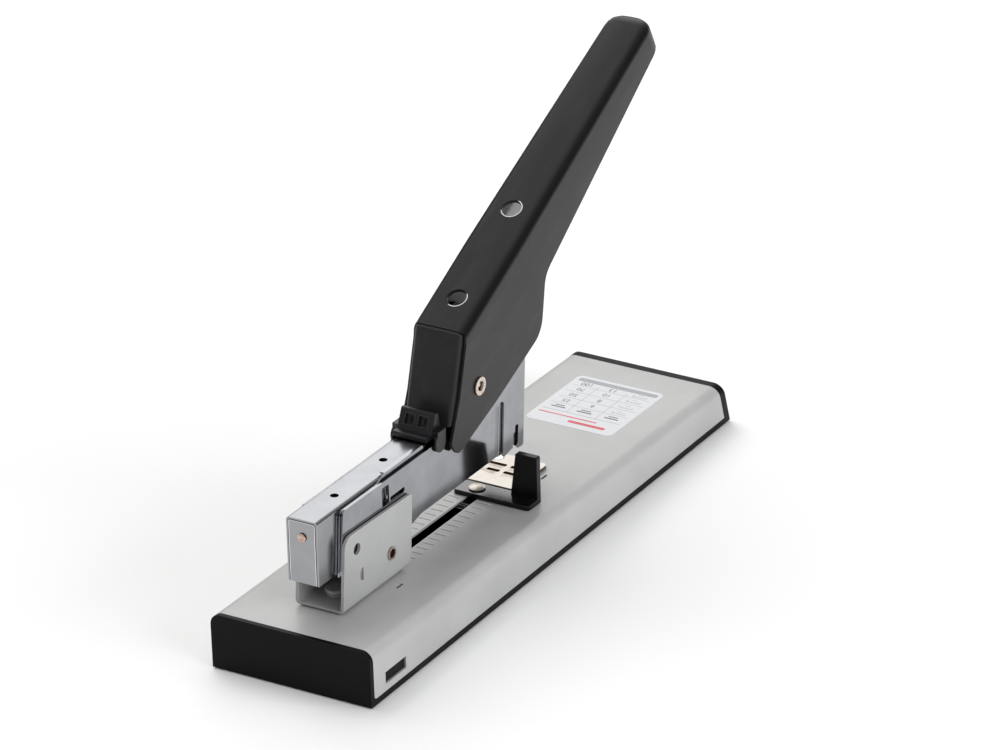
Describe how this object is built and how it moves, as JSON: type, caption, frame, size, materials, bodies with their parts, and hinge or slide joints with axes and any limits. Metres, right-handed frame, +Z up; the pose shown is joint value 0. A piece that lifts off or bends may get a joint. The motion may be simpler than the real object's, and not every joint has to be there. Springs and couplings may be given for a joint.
{
  "type": "desk stapler",
  "caption": "Heavy-duty desk stapler with a long lever handle, a tilting head, a pull-out magazine and a sliding paper stop.",
  "frame": {"origin": "middle of the base's footprint, on the surface that it stands on", "axes": "+X from the rear end to the front end where paper goes in, +Y across, +Z up"},
  "size_m": [0.308, 0.08, 0.1961],
  "materials": {
    "grey_paint": "satin light grey paint",
    "black_plastic": "satin black",
    "black_paint": "satin black paint",
    "pad_rubber": "matte",
    "zinc_plate": "bright zinc plate",
    "nickel_plate": "nickel plate",
    "brassed_steel": "dull rivet metal",
    "spring_steel": "drawn steel",
    "staple_wire": "bright wire"
  },
  "bodies": {
    "base": {"base_cover": "grey_paint", "base_tray": "black_plastic", "rear_pad": "pad_rubber", "front_pad": "pad_rubber", "pivot_bracket": "grey_paint", "bracket_rivet_rear": "grey_paint", "bracket_rivet_front": "grey_paint", "head_pivot_pin": "brassed_steel", "head_lift_spring": "spring_steel", "anvil_plate": "nickel_plate", "anvil_rivet_left": "nickel_plate", "anvil_rivet_right": "nickel_plate"},
    "guide": {"paper_guide": "black_plastic", "guide_rivet": "nickel_plate", "guide_slider": "zinc_plate"},
    "head": {"head_frame": "zinc_plate", "front_plate": "zinc_plate", "handle_return_spring": "spring_steel"},
    "magazine": {"magazine_cover": "zinc_plate", "magazine_rail": "zinc_plate", "staple_strip": "staple_wire", "guide_rod": "spring_steel", "rod_rivet": "brassed_steel", "pusher_spring": "spring_steel"},
    "pusher": {"staple_pusher": "spring_steel"},
    "latch": {"latch_button": "black_plastic"},
    "driver": {"driver_blade": "spring_steel", "driver_carrier": "zinc_plate", "drive_pin": "spring_steel"},
    "handle": {"handle_shell": "black_paint", "handle_liner": "black_paint", "handle_pivot_rivet": "brassed_steel"}
  },
  "joints": [
    {"name": "head_tilt", "type": "hinge", "parent": "base", "child": "head", "pos_m": [-0.09116, 0, 0.03852], "axis": [0, 1, 0], "range_deg": [0, 6.4], "stiffness_Nm_per_rad": 4, "springref_deg": -17.19, "deforming": ["head_lift_spring"]},
    {"name": "handle_press", "type": "hinge", "parent": "head", "child": "handle", "pos_m": [-0.01749, 0, 0.08619], "axis": [0, 1, 0], "range_deg": [0, 38], "stiffness_Nm_per_rad": 0.8, "springref_deg": -34.38, "deforming": ["handle_return_spring"]},
    {"name": "driver_slide", "type": "slide", "parent": "head", "child": "driver", "axis": [-0.0958, 0, -0.9954], "range_m": [0, 0.017]},
    {"name": "magazine_slide", "type": "slide", "parent": "head", "child": "magazine", "axis": [-0.9999, 0, 0.014], "range_m": [0, 0.1]},
    {"name": "pusher_slide", "type": "slide", "parent": "magazine", "child": "pusher", "axis": [-0.9999, 0, 0.014], "range_m": [0, 0.05], "stiffness_N_per_m": 25, "springref_m": -0.04, "deforming": ["pusher_spring"]},
    {"name": "latch_tip", "type": "hinge", "parent": "head", "child": "latch", "pos_m": [-0.0472, 0, 0.07131], "axis": [0, 1, 0], "range_deg": [0, 6], "stiffness_Nm_per_rad": 0.05, "springref_deg": -17.19},
    {"name": "guide_slide", "type": "slide", "parent": "base", "child": "guide", "axis": [-0.9998, 0, 0.0188], "range_m": [0, 0.048]}
  ],
  "couplings": [
    {"joint": "driver_slide", "follows": "handle_press", "m_per_rad": 0.0256}
  ]
}
